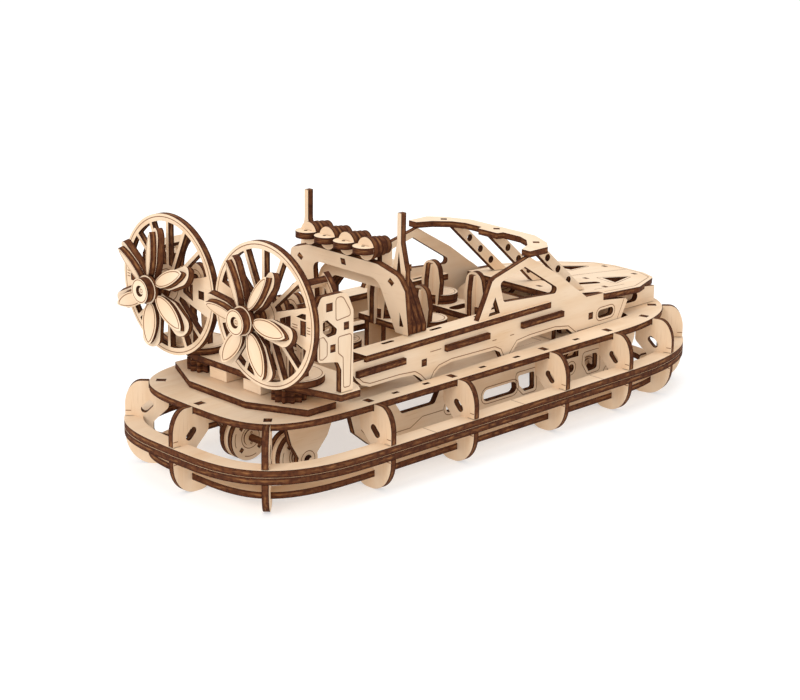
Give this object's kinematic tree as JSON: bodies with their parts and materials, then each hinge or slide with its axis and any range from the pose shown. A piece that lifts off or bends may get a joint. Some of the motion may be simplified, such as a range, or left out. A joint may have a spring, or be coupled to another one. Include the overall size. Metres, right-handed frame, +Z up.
{
  "type": "hovercraft model",
  "caption": "Laser-cut plywood model of a hovercraft: ribbed skirt of stacked rings, open cabin with a lamp bar, and twin ring-guarded fans at the stern.",
  "frame": {"origin": "on the floor plane under the middle of the hull", "axes": "+X to the bow, +Y to port, +Z up"},
  "size_m": [0.3244, 0.1328, 0.1203],
  "materials": {
    "birch_ply": "raw birch plywood",
    "burnt_ply": "laser-browned plywood edge"
  },
  "bodies": {
    "hull": {"deck": "birch_ply", "mid_ring_upper": "birch_ply", "mid_ring_lower": "birch_ply", "bottom_ring": "birch_ply", "rib_01": "birch_ply", "rib_02": "birch_ply", "rib_03": "birch_ply", "rib_04": "birch_ply", "rib_05": "birch_ply", "rib_06": "birch_ply", "rib_07": "birch_ply", "rib_08": "birch_ply", "rib_09": "birch_ply", "rib_10": "birch_ply", "rib_11": "birch_ply", "rib_12": "birch_ply", "rib_13": "birch_ply", "rib_14": "birch_ply", "rib_15": "birch_ply", "rib_16": "birch_ply", "hull_floor": "birch_ply", "hull_side_port": "birch_ply", "hull_side_starboard": "birch_ply", "rear_bracket": "birch_ply", "platform_lower": "birch_ply", "platform_upper": "birch_ply", "platform_block_port": "burnt_ply", "platform_block_starboard": "burnt_ply", "fan_ring_port": "birch_ply", "fan_ring_starboard": "birch_ply", "fan_mount_port": "birch_ply", "fan_mount_starboard": "birch_ply", "nacelle_plate_port": "birch_ply", "nacelle_plate_starboard": "birch_ply", "nacelle_hoop_port": "birch_ply", "nacelle_hoop_starboard": "birch_ply", "side_panel_port": "birch_ply", "side_panel_starboard": "birch_ply", "lamp_arch": "birch_ply", "rear_hoop": "birch_ply", "lamp_bank": "birch_ply", "antenna_port": "birch_ply", "antenna_starboard": "birch_ply", "seats_rear": "birch_ply", "seats_front": "birch_ply", "dashboard": "birch_ply", "steering_wheel": "burnt_ply", "roof_bow": "birch_ply", "pillar_port": "birch_ply", "pillar_middle": "birch_ply", "pillar_starboard": "birch_ply", "nose": "birch_ply", "engine": "birch_ply"},
    "propeller_port": {"propeller_port": "birch_ply"},
    "propeller_starboard": {"propeller_starboard": "birch_ply"},
    "front_wheels": {"front_wheels": "birch_ply"},
    "rear_wheels": {"rear_wheels": "birch_ply"},
    "gear_port": {"gear_port": "burnt_ply"},
    "gear_starboard": {"gear_starboard": "burnt_ply"}
  },
  "joints": [
    {"name": "propeller_port_spin", "type": "hinge", "parent": "hull", "child": "propeller_port", "pos_m": [-0.1432, 0.0334, 0.0873], "axis": [1, 0, 0], "continuous": true},
    {"name": "propeller_starboard_spin", "type": "hinge", "parent": "hull", "child": "propeller_starboard", "pos_m": [-0.1432, -0.0334, 0.0873], "axis": [1, 0, 0], "continuous": true},
    {"name": "gear_port_spin", "type": "hinge", "parent": "hull", "child": "gear_port", "pos_m": [-0.1178, 0.03, 0.04745], "axis": [0, 0, 1], "continuous": true},
    {"name": "gear_starboard_spin", "type": "hinge", "parent": "hull", "child": "gear_starboard", "pos_m": [-0.1178, -0.03, 0.04745], "axis": [0, 0, 1], "continuous": true},
    {"name": "front_axle_spin", "type": "hinge", "parent": "hull", "child": "front_wheels", "pos_m": [0.0982, 0, 0.0115], "axis": [0, 1, 0], "continuous": true},
    {"name": "rear_axle_spin", "type": "hinge", "parent": "hull", "child": "rear_wheels", "pos_m": [-0.1048, 0, 0.0115], "axis": [0, 1, 0], "continuous": true}
  ]
}
